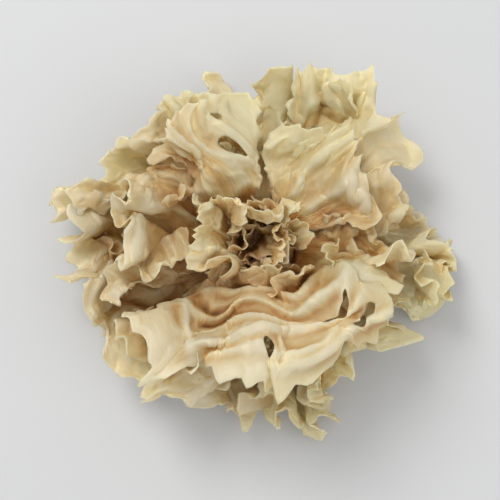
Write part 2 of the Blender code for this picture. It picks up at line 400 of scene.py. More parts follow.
def torn_margin(fan, s, torn):
    """The margin with its teeth, which reach this share into the fan."""
    return margin(fan, s) * (1 - torn * teeth(fan, (s + 1) / 2, fan["tips"] * TEETH_PER_TIP, 0.0))


def fan_layout(fan, s, t, torn):
    """The fan laid out flat but for its folds: distances along it, across it and off it."""
    seed = fan["seed"]
    spread = math.radians(fan["spread"])
    start = fan["root"] / math.sin(spread)
    notches = teeth(fan, np.clip(t, 0, 1), SIDE_TEETH, SIDE_TEETH_SALT)
    near_side = np.abs(s) ** SIDE_TOOTH_CURVE * ease(t / ROOT_CALM)
    sides = 1 - SIDE_TOOTH_DEPTH * torn * near_side * notches
    length = start + t * fan["reach"] * torn_margin(fan, s, torn)
    sway = RIB_SWAY * t * np.sin(RIB_WAVES[0] * s + RIB_WAVES[1] * t + seed)
    angle = spread * sides * (s + sway)
    shifted = s + FOLD_SHIFT * np.sin(FOLD_SHIFT_WAVE * s + seed)
    phase = math.pi * fan["folds"] * shifted + seed * FOLD_START
    fold = fan["fold_height"] * np.clip(t, 0, None) ** FOLD_RISE
    small_fold = SMALL_FOLD * np.sin(SMALL_FOLD_WAVES[0] * phase + SMALL_FOLD_WAVES[1] * t + seed)
    lift = fold * (np.sin(phase) + small_fold)
    across = length * np.sin(angle) - FOLD_LEAN * fold * np.sin(2 * phase)
    root_line = start * (1 + (np.cos(angle) - 1) * (1 - t) ** 2)
    return length * np.cos(angle) - root_line, across, lift


def dried(points):
    """Where the uneven pull of drying takes the points. It leaves the base as it is."""
    away = ease((np.linalg.norm(points, axis=-1) - PULL_STARTS) / (PULL_FULL - PULL_STARTS))
    moved = points.copy()
    for pull in PULLS:
        for axis, shift in enumerate(pull["shifts"]):
            moved[..., axis] += noise_field(points, pull["size"], shift) * pull["reach"] * away
    return moved


def frond_points(frond, s, t, torn):
    """The middle of a frond's sheet before it grows."""
    along, across, lift = fan_layout(frond, s, t, torn)
    rise = math.radians(frond["rise"])
    curve = math.radians(frond["bend"]) / frond["reach"]
    slope = rise + curve * along
    outward = (np.sin(slope) - math.sin(rise)) / curve - lift * np.sin(slope)
    upward = (math.cos(rise) - np.cos(slope)) / curve + lift * np.cos(slope)

    azimuth = math.radians(frond["azimuth"])
    latitude = math.radians(frond["latitude"])
    root = [(radius + ROOT_GAP) * math.cos(latitude) for radius in BASE_RADII[:2]]
    height = (BASE_RADII[2] + ROOT_GAP) * math.sin(latitude) + BASE_CENTRE_HEIGHT
    x = (root[0] + outward) * math.cos(azimuth) - across * math.sin(azimuth)
    y = (root[1] + outward) * math.sin(azimuth) + across * math.cos(azimuth)
    return dried(np.stack([x, y, height + upward], -1))


def sheet_grid(columns, rows, sunk=ROOT_SUNK):
    """s from side to side and t from the sunk root to the margin."""
    s = np.linspace(-1, 1, columns + 1)[None, :] * np.ones((rows + 1, 1))
    t = np.linspace(-sunk, 1, rows + 1)[:, None] * np.ones((1, columns + 1))
    return s, t


def finer(grid):
    """The same field on a grid of twice as many columns and rows."""
    batch, rows, columns, parts = grid.shape
    wide = np.zeros((batch, rows, columns * 2 - 1, parts))
    wide[:, :, ::2] = grid
    wide[:, :, 1::2] = (grid[:, :, 1:] + grid[:, :, :-1]) / 2
    tall = np.zeros((batch, rows * 2 - 1, columns * 2 - 1, parts))
    tall[:, ::2] = wide
    tall[:, 1::2] = (wide[:, 1:] + wide[:, :-1]) / 2
    return tall


def draw_together(a, b, rest, stiffness):
    """Moves pairs of points, in place, towards their resting distance."""
    gap = b - a
    length = np.linalg.norm(gap, axis=-1, keepdims=True) + 1e-9
    shift = gap * (0.5 * stiffness * (1 - rest[..., None] / length))
    a += shift
    b -= shift


def straighten(a, b, rest):
    """Straightens the sheet between two points, unless it is folded there: a fold stays, and sharpens."""
    gap = b - a
    length = np.linalg.norm(gap, axis=-1, keepdims=True) + 1e-9
    straight = length / rest[..., None]
    flat = ease((straight - FOLDED) / (FLAT - FOLDED))
    stiffness = FOLD_STIFFNESS + (FLAT_STIFFNESS - FOLD_STIFFNESS) * flat
    shift = gap * (0.5 * stiffness * (1 - 1 / straight))
    a += shift
    b -= shift


def resting_lengths(base, grow_across, grow_along):
    """How long each stretch of the grown sheets wants to be."""
    wide = (grow_across[:, :, 1:] + grow_across[:, :, :-1]) / 2
    long = (grow_along[:, 1:] + grow_along[:, :-1]) / 2
    across = (base[:, :, 1:] - base[:, :, :-1]) * wide[..., None]
    along = (base[:, 1:] - base[:, :-1]) * long[..., None]
    rest = {
        "across": np.linalg.norm(across, axis=-1),
        "along": np.linalg.norm(along, axis=-1),
        "slant": np.linalg.norm(across[:, :-1] + along[:, :, 1:], axis=-1),
        "counter": np.linalg.norm(along[:, :, :-1] - across[:, :-1], axis=-1),
    }
    rest["across_2"] = rest["across"][:, :, 1:] + rest["across"][:, :, :-1]
    rest["along_2"] = rest["along"][:, 1:] + rest["along"][:, :-1]
    return rest


def settle(x, base, rest, drift, hold, loops):
    """Lets the sheets find a shape that fits their lengths, near where they started."""
    for _ in range(loops):
        for i in (0, 1):
            draw_together(x[:, :, i:-1:2], x[:, :, i + 1 :: 2], rest["across"][:, :, i::2], 1.0)
            draw_together(x[:, i:-1:2], x[:, i + 1 :: 2], rest["along"][:, i::2], 1.0)
        for i in (0, 1):
            for j in (0, 1):
                slant = rest["slant"][:, i::2, j::2]
                draw_together(x[:, i:-1:2, j:-1:2], x[:, i + 1 :: 2, j + 1 :: 2], slant, SHEAR)
                counter = rest["counter"][:, i::2, j::2]
                draw_together(x[:, i:-1:2, j + 1 :: 2], x[:, i + 1 :: 2, j:-1:2], counter, SHEAR)
        for i in range(4):
            straighten(x[:, :, i:-2:4], x[:, :, i + 2 :: 4], rest["across_2"][:, :, i::4])
            straighten(x[:, i:-2:4], x[:, i + 2 :: 4], rest["along_2"][:, i::4])
        moved = x - base
        far = np.linalg.norm(moved, axis=-1, keepdims=True) + 1e-9
        moved *= np.minimum(1, drift / far)
        x[:] = base + moved * (1 - hold)
        x += (np.clip(x, LOWEST, HIGHEST) - x) * BOX_PULL
        x[..., 2] = np.maximum(x[..., 2], FLOOR_GAP)


def grow_sheets(grids, shape, seeds, drift_limits, amounts):
    """Grows a batch of sheets. shape(columns, rows, last) gives their points, s and t before that."""
    drifted = None
    amounts = np.array(amounts)[:, None, None]
    for level, (columns, rows, loops) in enumerate(grids):
        base, s, t = shape(columns, rows, level == len(grids) - 1)
        near_edge = np.maximum(t, np.abs(s) * SIDE_GROWTH)
        share = np.clip((near_edge - GROWTH_STARTS) / (1 - GROWTH_STARTS), 0, 1) ** GROWTH_CURVE
        share *= np.clip(t / ROOT_CALM, 0, 1)
        shifts = [(seed * PATCH_SHIFT[0], *PATCH_SHIFT[1:]) for seed in seeds]
        patch = np.stack([noise_field(p, GROWTH_PATCH, shift) for p, shift in zip(base, shifts)])
        across = 1 + amounts * GROWTH_ACROSS * share * (1 + PATCH_ACROSS * patch)
        along = 1 + amounts * GROWTH_ALONG * share * (1 + PATCH_ALONG * patch)
        x = base.copy() if drifted is None else base + finer(drifted)
        for axis in range(3):
            shifts = [(axis * JOLT_SHIFT[0], seed * JOLT_SHIFT[1], level) for seed in seeds]
            jolt = [noise_field(p, JOLT_SIZES[level], shift) for p, shift in zip(base, shifts)]
            x[..., axis] += np.stack(jolt) * amounts * JOLT / 2**level * share
        drift = (drift_limits[0] + (drift_limits[1] - drift_limits[0]) * np.clip(t, 0, 1))[..., None]
        hold = np.clip(1 - t / ROOT_HELD, 0, 1)[..., None] * ROOT_HOLD + SHEET_HOLD
        settle(x, base, resting_lengths(base, across, along), drift, hold, loops)
        drifted = x - base
    inside = np.clip(x, LOWEST, HIGHEST)
    return np.stack([ease_pinches(points) for points in inside + (x - inside) * STAND_OUT]), s, t


def ease_pinches(points):
    """Smooths the few spots where a sheet is pinched so sharply that it would run through itself."""
    border = ((1, 1), (1, 1), (0, 0))
    for _ in range(PINCH_ROUNDS):
        slants = points[1:, 1:] - points[:-1, :-1], points[1:, :-1] - points[:-1, 1:]
        normals = np.pad(unit(np.cross(*slants)), border, mode="edge")
        flatness = np.linalg.norm(middles(normals), axis=-1)
        pinched = ease((PINCH_FLATNESS - flatness) / PINCH_RANGE)[..., None]
        points = points + (mean_around(points) - points) * pinched * PINCH_EASING
    return points


def mean_around(grid):
    """The mean of the four points beside each point of a grid."""
    wider = np.pad(grid, ((1, 1), (1, 1)) + ((0, 0),) * (grid.ndim - 2), mode="edge")
    return (wider[:-2, 1:-1] + wider[2:, 1:-1] + wider[1:-1, :-2] + wider[1:-1, 2:]) / 4


def fan_scale(fan, t):
    """How many millimetres one step of s, and one of t, are at a given t."""
    spread = math.radians(fan["spread"])
    reach = fan["reach"] * TIP_REACH
    return (fan["root"] / math.sin(spread) + t * reach) * spread, reach


def hole_distance(hole, fan, s, t):
    """0 in the middle of the hole, 1 on its rim, and more outside it."""
    wide, long = fan_scale(fan, hole["t"])
    turn = math.radians(hole["turn"])
    aside = (s - hole["s"]) * wide
    ahead = (t - hole["t"]) * long
    u = (aside * math.cos(turn) + ahead * math.sin(turn)) * 2 / hole["width"]
    v = (ahead * math.cos(turn) - aside * math.sin(turn)) * 2 / hole["length"]
    wobble = 1 + HOLE_WOBBLE * np.sin(HOLE_WAVES * np.arctan2(v, u) + hole["s"] * HOLE_WAVE_START)
    return np.hypot(u, v) / wobble


def middles(grid):
    """The mean of each four neighbours in a grid, such as the corners of each face."""
    return (grid[1:, 1:] + grid[1:, :-1] + grid[:-1, 1:] + grid[:-1, :-1]) / 4


def open_holes(fan, s, t):
    """Marks the faces inside the fan's holes, and moves the grid's s and t onto their rims."""
    gone = np.zeros((s.shape[0] - 1, s.shape[1] - 1), bool)
    s, t = s.copy(), t.copy()
    for hole in HOLES:
        if hole["frond"] != fan["name"]:
            continue
        inside = hole_distance(hole, fan, middles(s), middles(t)) < 1
        share_gone = middles(np.pad(inside.astype(float), 1, mode="edge"))
        rim = (share_gone > 0) & (share_gone < 1)
        far = hole_distance(hole, fan, s, t)
        s[rim] = hole["s"] + (s[rim] - hole["s"]) / far[rim]
        t[rim] = hole["t"] + (t[rim] - hole["t"]) / far[rim]
        gone |= inside
    return gone, s, t


def hole_rim(fan, s, t):
    """How far each point is from the rim of the nearest hole, in millimetres."""
    far = np.full(s.shape, np.inf)
    for hole in HOLES:
        if hole["frond"] == fan.get("name"):
            away = (hole_distance(hole, fan, s, t) - 1) * hole["width"] / 2
            far = np.minimum(far, np.clip(away, 0, None))
    return far


def margin_rim(fan, s, t):
    """How far each point is from the fan's own free edges, in millimetres."""
    wide, long = fan_scale(fan, t)
    return np.minimum((1 - t) * long, (1 - np.abs(s)) * wide)


def raised(points, height):
    """A sheet's points moved off it by a height for each."""
    across = np.gradient(points, axis=-2)
    along = np.gradient(points, axis=-3)
    return points + unit(np.cross(along, across)) * height[..., None]


def creased(points, fan, s, t, look):
    """Raises sharp ridges with hollow flanks on a grown sheet, and says how much each point is on one, as a
    painted highlight, less the painted shade beside the veins.
    """
    wide, long = fan_scale(fan, np.clip(t, 0, 1))
    place = np.stack([s * wide / look["crease_across"], t * long / look["crease_along"], 0 * t], -1)
    ridges = 0
    for size, weight, layer in CREASE_LAYERS:
        pull = noise_field(place / size, 1.0, (fan["seed"] * CREASE_SHIFT[0], CREASE_SHIFT[1], layer))
        ridges = ridges + weight * np.clip(1 - np.abs(pull) * CREASE_NARROWNESS, 0, 1) ** CREASE_SHARPNESS
    grip = ease((t - CREASE_START) / (CREASE_FULL - CREASE_START))
    grip *= 1 - (1 - CREASE_AT_MARGIN) * ease((t - CREASE_FADE) / (1 - CREASE_FADE))
    veins, valley_shade = vein_shares(fan, s, t)
    ridges = ridges * grip
    points = ease_pinches(raised(points, ridges * look["crease_height"] * (1 - np.clip(veins, 0, 1))))
    # The second value is painted tone: a painted highlight on the ridges and veins, painted shade beside
    # the veins.
    return ease_pinches(raised(points, veins)), ridges + veins - valley_shade


def vein_shares(fan, s, t):
    """How high each point is on the fan's veins, and how much painted shade it gets beside them."""
    veins, valley_shade = np.zeros(s.shape), np.zeros(s.shape)
    if fan.get("name") != VEINED_FROND:
        return veins, valley_shade
    wide = fan_scale(fan, np.clip(t, 0, 1))[0]
    reached = t * torn_margin(fan, s, TOOTH_DEPTH)
    for start_s, start_reach, end_s, end_reach, bow, width, height in VEIN_ROWS:
        run = end_s - start_s
        climb = end_reach - start_reach
        along = (s - start_s) / run
        line = start_reach + climb * along + bow * 4 * along * (1 - along)
        line = line + VEIN_WAVE * np.sin(VEIN_WAVES * s + start_reach / VEIN_WAVE)
        slope = climb * fan["reach"] / (run * wide)
        away = np.abs(reached - line) * fan["reach"] / np.hypot(1, slope)
        ends = ease(along / VEIN_END) * ease((1 - along) / VEIN_END)
        on_vein = np.exp(-((away / width) ** 2)) * ends
        beside = np.exp(-((away / (VALLEY_SHADE_WIDTH * width)) ** 2)) * ends
        veins = np.maximum(veins, on_vein * height)
        valley_shade = np.maximum(valley_shade, beside * VALLEY_SHADE_STRENGTH)
    return veins, valley_shade * (1 - np.clip(veins, 0, 1))


def sharpest_bend(points):
    """How sharply a grown sheet bends at each point, as one over the radius in millimetres."""
    bends = []
    for axis in (0, 1):
        lined_up = np.moveaxis(points, axis, 0)
        ahead, behind = lined_up[2:] - lined_up[1:-1], lined_up[1:-1] - lined_up[:-2]
        step = np.linalg.norm(ahead, axis=-1) + np.linalg.norm(behind, axis=-1)
        bend = 4 * np.linalg.norm(ahead - behind, axis=-1) / (step**2 + 1e-6)
        bends.append(np.moveaxis(np.pad(bend, ((1, 1), (0, 0)), mode="edge"), 0, axis))
    return np.maximum(*bends)


def new_sheet(fan, points, ridges, s, t, look, thickness, growth_start):
    """A grown sheet, with what its mesh and its colours need at each point."""
    to_rim = np.minimum(hole_rim(fan, s, t), margin_rim(fan, s, t))
    rim = np.exp(-to_rim / RIM_WIDTH)
    root, middle, edge = thickness
    thick = root + (middle - root) * ease(t / ROOT_SHARE)
    thick = thick + (edge - thick) * np.maximum(rim, np.clip(t, 0, 1) ** MARGIN_CURVE * MARGIN_THINNING)
    thick = np.minimum(thick, np.maximum(FOLD_ROOM / sharpest_bend(points), edge * THINNEST))
    wide, long = fan_scale(fan, np.clip(t, 0, 1))
    coarse = look["coarse"]
    grain = [s * wide / coarse, t * long / coarse, np.full(s.shape, fan["seed"] * GRAIN_STEP)]
    if look["crease_across"] > look["crease_along"]:
        grain[:2] = grain[1::-1]
    return {
        "points": points,
        "thick": thick,
        "ridge": np.clip(ridges, -VALLEY_SHADE_STRENGTH, 1),
        "growth": growth_start + (1 - growth_start) * np.clip(t, 0, 1),
        "rim": np.exp(-to_rim / PALE_WIDTH),
        "grain": np.stack(grain, -1),
        "gone": np.zeros((s.shape[0] - 1, s.shape[1] - 1), bool),
    }


def grow_fronds():
    """Every frond's grown sheet, with its holes and creases."""
    gone = {}

    def shape(columns, rows, last):
        plain_s, plain_t = sheet_grid(columns, rows)
        torn = TOOTH_DEPTH if last else 0.0
        all_s, all_t, all_points = [], [], []
        for frond in FRONDS:
            s, t = plain_s, plain_t
            if last:
                gone[frond["name"]], s, t = open_holes(frond, s, t)
            all_s.append(s)
            all_t.append(t)
            all_points.append(frond_points(frond, s, t, torn))
        return np.stack(all_points), np.stack(all_s), np.stack(all_t)

    seeds = [frond["seed"] for frond in FRONDS]
    ruffles = [LOOKS[frond["name"]]["ruffle"] for frond in FRONDS]
    grown, all_s, all_t = grow_sheets(FROND_GRIDS, shape, seeds, FROND_DRIFT, ruffles)
    sheets = {}
    for frond, points, s, t in zip(FRONDS, grown, all_s, all_t):
        points, ridges = creased(points, frond, s, t, LOOKS[frond["name"]])
        points = raised(points, HOLE_LIP * np.exp(-hole_rim(frond, s, t) / HOLE_LIP_WIDTH))
        sheet = new_sheet(frond, points, ridges, s, t, LOOKS[frond["name"]], FROND_THICKNESS, 0.0)
        sheet["gone"] = gone[frond["name"]]
        sheets[frond["name"]] = sheet
    return sheets


def on_sheet(points, s, t):
    """Reads a grown sheet between the points of its grid."""
    rows, columns = points.shape[0] - 1, points.shape[1] - 1
    j = np.clip((np.asarray(s) + 1) / 2 * columns, 0, columns - 1e-6)
    i = np.clip((np.asarray(t) + ROOT_SUNK) / (1 + ROOT_SUNK) * rows, 0, rows - 1e-6)
    left, low = j.astype(int), i.astype(int)
    right, up = (j - left)[..., None], (i - low)[..., None]
    lower = points[low, left] * (1 - right) + points[low, left + 1] * right
    upper = points[low + 1, left] * (1 - right) + points[low + 1, left + 1] * right
    return lower * (1 - up) + upper * up


def frill_points(frill, carrier, s, t, torn):
    """A frill's sheet before it grows, with its root along the grown frond that carries it."""
    s0, t0 = frill["s"], frill["t"]
    step = FRILL_STEP
    wide = (on_sheet(carrier, s0 + step, t0) - on_sheet(carrier, s0 - step, t0)) / (2 * step)
    long = (on_sheet(carrier, s0, t0 + step) - on_sheet(carrier, s0, t0 - step)) / (2 * step)
    normal = unit(np.cross(long, wide)) * frill["side"]
    turn = math.radians(frill["turn"])
    rise = math.radians(frill["rise"])
    level = unit(long) * math.cos(turn) + np.cross(normal, unit(long)) * math.sin(turn)
    along_way = level * math.cos(rise) + normal * math.sin(rise)
    across_way = np.cross(normal, level)
    off_way = np.cross(along_way, across_way)

    # The steps of the frond's s and t that go one millimetre across the frill.
    plane = np.stack([wide, long], -1)
    step_s, step_t = np.linalg.lstsq(plane, across_way, rcond=None)[0]

    along, across, lift = fan_layout(frill, s, t, torn)
    aside = frill["root"] * s
    root = on_sheet(carrier, s0 + step_s * aside, t0 + step_t * aside)
    points = root + along_way * (along - FRILL_SUNK)[..., None]
    return points + across_way * (across - aside)[..., None] + off_way * lift[..., None]


def list_frills():
    """The crests of the solids, and small frills scattered between them."""
    dice = random.Random(FRILL_SEED)
    frills = [dict(zip(FRILL_KEYS + FAN_KEYS, row), side=1) for row in CREST_ROWS + RIM_FRILL_ROWS]
    for frond in FRONDS:
        for index in range(LOOKS[frond["name"]]["frills"]):
            frill = {key: dice.uniform(*limits) for key, limits in FRILL_RANGES.items()}
            frill["frond"] = frond["name"]
            frill["tips"] = dice.choice(FRILL_TIPS)
            frill["seed"] = FRILL_FIRST_SEED + len(frills)
            below = index % FRILLS_TO_ONE_BELOW == FRILLS_TO_ONE_BELOW - 1
            frill["side"] = -1 if below else 1
            if clear_of_others(frill, frills):
                frills.append(frill)
    return frills


def clear_of_others(frill, frills):
    """Whether the frill stands well away from its frond's holes and other frills."""
    fan = next(frond for frond in FRONDS if frond["name"] == frill["frond"])
    wide, long = fan_scale(fan, frill["t"])
    for other in frills + HOLES:
        if other["frond"] == frill["frond"]:
            if math.hypot((other["s"] - frill["s"]) * wide, (other["t"] - frill["t"]) * long) < FRILL_SPACE:
                return False
    return True


def grow_small(fans, plain_points, sunk, growth, thickness):
    """The grown sheets of frills or buds. plain_points(fan, s, t, torn) gives their points before that."""

    def shape(columns, rows, last):
        s, t = sheet_grid(columns, rows, sunk)
        torn = TOOTH_DEPTH if last else 0.0
        points = [plain_points(fan, s, t, torn) for fan in fans]
        batch = (len(fans), 1, 1)
        return np.stack(points), np.tile(s, batch), np.tile(t, batch)

    seeds = [fan["seed"] for fan in fans]
    grown, all_s, all_t = grow_sheets(FRILL_GRIDS, shape, seeds, FRILL_DRIFT, [growth] * len(fans))
    sheets = []
    for fan, points, s, t in zip(fans, grown, all_s, all_t):
        points, ridges = creased(points, fan, s, t, FRILL_LOOK)
        sheets.append(new_sheet(fan, points, ridges, s, t, FRILL_LOOK, thickness, fan.get("t", 0.0)))
    return sheets


def grow_frills(frills, carriers):
    """Every frill's grown sheet. carriers gives the frond sheets that they stand on."""

    def plain_points(frill, s, t, torn):
        return frill_points(frill, carriers[frill["frond"]]["points"], s, t, torn)

    return grow_small(frills, plain_points, ROOT_SUNK, FRILL_GROWTH, FRILL_THICKNESS)


def list_buds():
    """Small frills that grow straight from the base, round the hollow in the middle of the head."""
    dice = random.Random(BUD_SEED)
    buds = []
    for index in range(BUD_COUNT):
        bud = {key: dice.uniform(*limits) for key, limits in BUD_RANGES.items()}
        bud["name"] = "bud"
        bud["azimuth"] += index * BUD_TURN
        bud["tips"] = dice.choice(FRILL_TIPS)
        bud["seed"] = BUD_FIRST_SEED + index
        buds.append(bud)
    return buds


def add_base_form(bm, fineness):
    """Adds the plain form of the base: an egg of jelly, cut off flat underneath."""
    verts = bmesh.ops.create_icosphere(bm, subdivisions=fineness, radius=1.0)["verts"]
    for vert in verts:
        x, y, z = (part * radius for part, radius in zip(vert.co, BASE_RADII))
        vert.co = Vector((x, y, max(z + BASE_CENTRE_HEIGHT, 0.0))) * MM
    return verts


def make_base(material, tree, ways):
    """The tough base: lumps and wrinkles that run up into the fronds, and a rough cut face."""
    bm = bmesh.new()
    open_layer = bm.verts.layers.float.new("open")
    verts = add_base_form(bm, BASE_FINENESS)
    bm.normal_update()
    for vert in verts:
        place = vert.co / MM
        normal = vert.normal.copy()
        # How open to the sky the point is, for the painted shade in the base's hollows.
        vert[open_layer] = share_open(tree, vert.co, ways)
        if place.z <= 0.001:
            pits = sum(abs(noise.noise(place / size)) * share for size, share in CUT_PIT_LAYERS)
            rim = ease((1 - math.hypot(place.x / BASE_RADII[0], place.y / BASE_RADII[1])) / CUT_RIM)
            vert.co.z = CUT_PIT_DEPTH * min(pits, 1.0) * float(rim) * MM
            continue
        upright = Vector((place.x, place.y, place.z * BASE_STRETCH))
        lump = sum(noise.noise(upright / size) * height for size, height in LUMP_LAYERS)
        pull = noise.noise(upright / BASE_RIDGE_SIZE + Vector(BASE_RIDGE_PLACE))
        ridge = 1 - min(1.0, abs(pull) * CREASE_NARROWNESS)
        fade = float(ease(place.z / BASE_CALM))
        vert.co += normal * (lump + ridge**2 * BASE_RIDGE_HEIGHT) * fade * MM
    return new_piece("base_knob", bm, material)


def add_grid(bm, points):
    """Adds a grid of faces whose vertices lie at the points, and returns them by row and column."""
    rows, columns = points.shape[0] - 1, points.shape[1] - 1
    made = bmesh.ops.create_grid(bm, x_segments=columns, y_segments=rows, size=0.5)["verts"]
    placed = {(round((v.co.y + 0.5) * rows), round((v.co.x + 0.5) * columns)): v for v in made}
    for place, vert in placed.items():
        vert.co = Vector(points[place]) * MM
    return placed


def sky_directions():
    """Directions spread evenly all round."""
    count = np.arange(OPEN_RAYS)
    turns = count * math.pi * (3 - math.sqrt(5))
    heights = 1 - (2 * count + 1) / OPEN_RAYS
    level = np.sqrt(1 - heights**2)
    return [Vector(way) for way in np.stack([level * np.cos(turns), level * np.sin(turns), heights], -1)]


def share_open(tree, point, ways):
    """The share of directions in which a point has open air."""
    hits = [tree.ray_cast(point + way * (OPEN_START * MM), way, OPEN_REACH * MM)[0] for way in ways]
    return hits.count(None) / len(ways)


def find_open_air(sheets):
    """Gives every sheet the share of open air around each of its points, which paints shade into its
    hollows.
    """
    bm = bmesh.new()
    add_base_form(bm, OPEN_BASE_FINENESS)
    for sheet in sheets:
        add_grid(bm, sheet["points"][::2, ::2])
    tree = BVHTree.FromBMesh(bm)
    bm.free()
    ways = sky_directions()
    for sheet in sheets:
        coarse = sheet["points"][::2, ::2]
        openness_for_shade = [share_open(tree, Vector(point) * MM, ways) for point in coarse.reshape(-1, 3)]
        openness_for_shade = np.array(openness_for_shade).reshape(coarse.shape[:2])
        for _ in range(OPEN_SMOOTHING_ROUNDS):
            openness_for_shade = openness_for_shade + (mean_around(openness_for_shade) - openness_for_shade) * OPEN_SMOOTHING
        sheet["open"] = finer(openness_for_shade[None, :, :, None])[0, :, :, 0]
    return tree, ways


def add_sheet(bm, sheet, layers):
    """Adds one grown sheet to a bmesh, with its attributes and without the faces in its holes."""
    placed = add_grid(bm, sheet["points"])
    for place, vert in placed.items():
        for name in SHEET_VALUES:
            vert[layers[name]] = sheet[name][place]
        vert[layers["grain"]] = Vector(sheet["grain"][place])
        vert[layers["deform"]][0] = float(sheet["thick"][place] / FROND_THICKNESS[0])
    gone = []
    for i, j in zip(*np.nonzero(sheet["gone"])):
        gone.extend(set(placed[i, j].link_faces) & set(placed[i + 1, j + 1].link_faces))
    cut = {vert for face in gone for vert in face.verts}
    bmesh.ops.delete(bm, geom=gone, context="FACES")
    smooth_rims([vert for vert in cut if vert.is_valid])


def smooth_rims(verts):
    """Rounds the rims of the holes."""
    for _ in range(RIM_ROUNDS):
        middle_of = {}
        for vert in verts:
            beside = [edge.other_vert(vert).co for edge in vert.link_edges if edge.is_boundary]
            if len(beside) == 2:
                middle_of[vert] = (beside[0] + beside[1]) / 2
        for vert, middle in middle_of.items():
            vert.co = vert.co.lerp(middle, 0.5)


def make_sheet_piece(name, sheets, material):
    """One piece of grown sheets, given their thickness."""
    bm = bmesh.new()
    layers = {value: bm.verts.layers.float.new(value) for value in SHEET_VALUES}
    layers["grain"] = bm.verts.layers.float_vector.new("grain")
    layers["deform"] = bm.verts.layers.deform.verify()
    for sheet in sheets:
        add_sheet(bm, sheet, layers)
    piece = new_piece(name, bm, material)
    piece.vertex_groups.new(name="thickness")
    solid = piece.modifiers.new("thickness", "SOLIDIFY")
    solid.thickness = FROND_THICKNESS[0] * MM
    solid.offset = 0.0
    solid.vertex_group = "thickness"
    return piece


def new_object(name, data):
    added = bpy.data.objects.new(name, data)
    bpy.context.scene.collection.objects.link(added)
    return added


def new_piece(name, bm, material):
    mesh = bpy.data.meshes.new(name)
    bm.to_mesh(mesh)
    bm.free()
    mesh.shade_smooth()
    mesh.materials.append(material)
    return new_object(name, mesh)


def set_inputs(node, settings):
    """Gives a node's inputs their values, and returns the node."""
    for name, value in settings.items():
        node.inputs[name].default_value = value
    return node


def new_material(name, settings):
    """A material, its node tree, and its shader with these settings."""
    material = bpy.data.materials.new(name)
    material.use_nodes = True
    tree = material.node_tree
    return material, tree, set_inputs(tree.nodes["Principled BSDF"], settings)


def attribute(tree, name, output="Fac"):
    node = tree.nodes.new("ShaderNodeAttribute")
    node.attribute_name = name
    return node.outputs[output]


def arithmetic(tree, operation, a, b):
    """One sum on sockets or plain numbers."""
    node = tree.nodes.new("ShaderNodeMath")
    node.operation = operation
    for socket, value in zip(node.inputs, (a, b)):
        if isinstance(value, (int, float)):
            socket.default_value = value
        else:
            tree.links.new(value, socket)
    return node.outputs["Value"]


def added_up(tree, start, parts, shares):
    """A start value plus a share of each part."""
    for part, share in zip(parts, shares):
        start = arithmetic(tree, "ADD", start, arithmetic(tree, "MULTIPLY", part, share))
    return start


def colour_ramp(tree, value, stops):
    """Colours a value from 0 to 1 by (place, colour) stops."""
    node = tree.nodes.new("ShaderNodeValToRGB")
    elements = node.color_ramp.elements
    while len(elements) < len(stops):
        elements.new(0.5)
    for element, (place, colour) in zip(elements, stops):
        element.position = place
        element.color = (*colour, 1)
    tree.links.new(value, node.inputs["Fac"])
    return node.outputs["Color"]


def rescale(tree, value, low, high):
    """Takes a value from low..high to 0..1, held at the ends."""
    node = set_inputs(tree.nodes.new("ShaderNodeMapRange"), {"From Min": low, "From Max": high})
    tree.links.new(value, node.inputs["Value"])
    return node.outputs["Result"]


def cloudy(tree, place, scale, detail, roughness=0.5):
    settings = {"Scale": scale, "Detail": detail, "Roughness": roughness}
    node = set_inputs(tree.nodes.new("ShaderNodeTexNoise"), settings)
    tree.links.new(place, node.inputs["Vector"])
    return node.outputs["Fac"]


def stretched(tree, vector, scale):
    node = set_inputs(tree.nodes.new("ShaderNodeMapping"), {"Scale": scale})
    tree.links.new(vector, node.inputs["Vector"])
    return node.outputs["Vector"]


def ridged(tree, value):
    """Turns soft clouds into thin ridges: 1 where the clouds are half full, 0 away from there."""
    away = arithmetic(tree, "ABSOLUTE", arithmetic(tree, "SUBTRACT", value, 0.5), 0.0)
    return rescale(tree, away, WRINKLE_WIDTH, 0.0)


def blended(tree, share, a, b, way="MIX"):
    """Mixes colour a with colour b by a share."""
    node = tree.nodes.new("ShaderNodeMix")
    node.data_type = "RGBA"
    node.blend_type = way
    tree.links.new(share, node.inputs["Factor"])
    tree.links.new(a, node.inputs[6])
    if isinstance(b, tuple):
        node.inputs[7].default_value = (*b, 1)
    else:
        tree.links.new(b, node.inputs[7])
    return node.outputs[2]


def bumped(tree, shader, height, strength, distance):
    settings = {"Strength": strength, "Distance": distance * MM}
    node = set_inputs(tree.nodes.new("ShaderNodeBump"), settings)
    tree.links.new(height, node.inputs["Height"])
    tree.links.new(node.outputs["Normal"], shader.inputs["Normal"])


# The colours of the jelly, from its hollows, whose darkest tones are partly painted shade, to its thin
# margins, and of the tough base.
DEEP_AMBER = (0.19, 0.075, 0.018)
AMBER = (0.46, 0.235, 0.068)
HONEY = (0.60, 0.425, 0.195)
STRAW = (0.68, 0.565, 0.34)
IVORY = (0.75, 0.68, 0.485)
PALE_RIM = (0.84, 0.78, 0.61)
YELLOWER = (0.975, 1.0, 0.89)
JELLY_TONES = ((0.0, DEEP_AMBER), (0.22, AMBER), (0.45, HONEY), (0.68, STRAW), (0.95, IVORY))
BASE_TONES = ((0.1, DEEP_AMBER), (0.45, AMBER), (0.85, HONEY))
CUT_TONES = ((0.32, AMBER), (0.5, HONEY), (0.68, STRAW))

